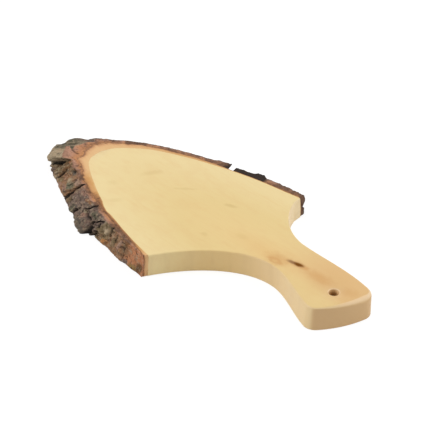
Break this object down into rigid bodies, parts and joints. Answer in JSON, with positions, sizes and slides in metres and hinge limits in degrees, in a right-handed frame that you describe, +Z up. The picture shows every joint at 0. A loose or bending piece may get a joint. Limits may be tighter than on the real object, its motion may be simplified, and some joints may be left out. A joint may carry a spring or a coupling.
{
  "type": "cutting board with handle",
  "caption": "Live-edge wooden cutting board: a slanting log slice with bark round the head, sawn to a waisted handle with a hanging hole.",
  "frame": {"origin": "middle of the bounding box on the underside, on the surface that the board lies on", "axes": "+X along the board from the bark tip to the handle's end, +Y towards the back long side, +Z up through the thickness"},
  "size_m": [0.3358, 0.162, 0.02],
  "materials": {
    "wood": "sanded pale hardwood, fine grain, matt to satin",
    "inner_bark": "sawn inner bark, peach to orange-brown",
    "old_bark": "rough grey-brown bark, sawn flush above and below",
    "young_bark": "thin smooth reddish bark"
  },
  "bodies": {
    "root": {"wood_slab": "wood", "inner_bark": "inner_bark", "bark_tip": "old_bark", "bark_front_1": "old_bark", "bark_front_2": "old_bark", "bark_front_3": "old_bark", "bark_front_4": "old_bark", "bark_front_5": "old_bark", "bark_front_6": "old_bark", "bark_front_7": "old_bark", "bark_front_8": "young_bark", "bark_tip_back": "old_bark", "bark_back_1": "old_bark", "bark_back_2": "old_bark", "bark_back_3": "old_bark", "bark_back_4": "old_bark", "bark_back_5": "old_bark", "bark_back_6": "old_bark", "bark_back_7": "old_bark", "bark_back_8": "old_bark", "bark_back_9": "old_bark", "bark_back_10": "old_bark"}
  },
  "joints": []
}
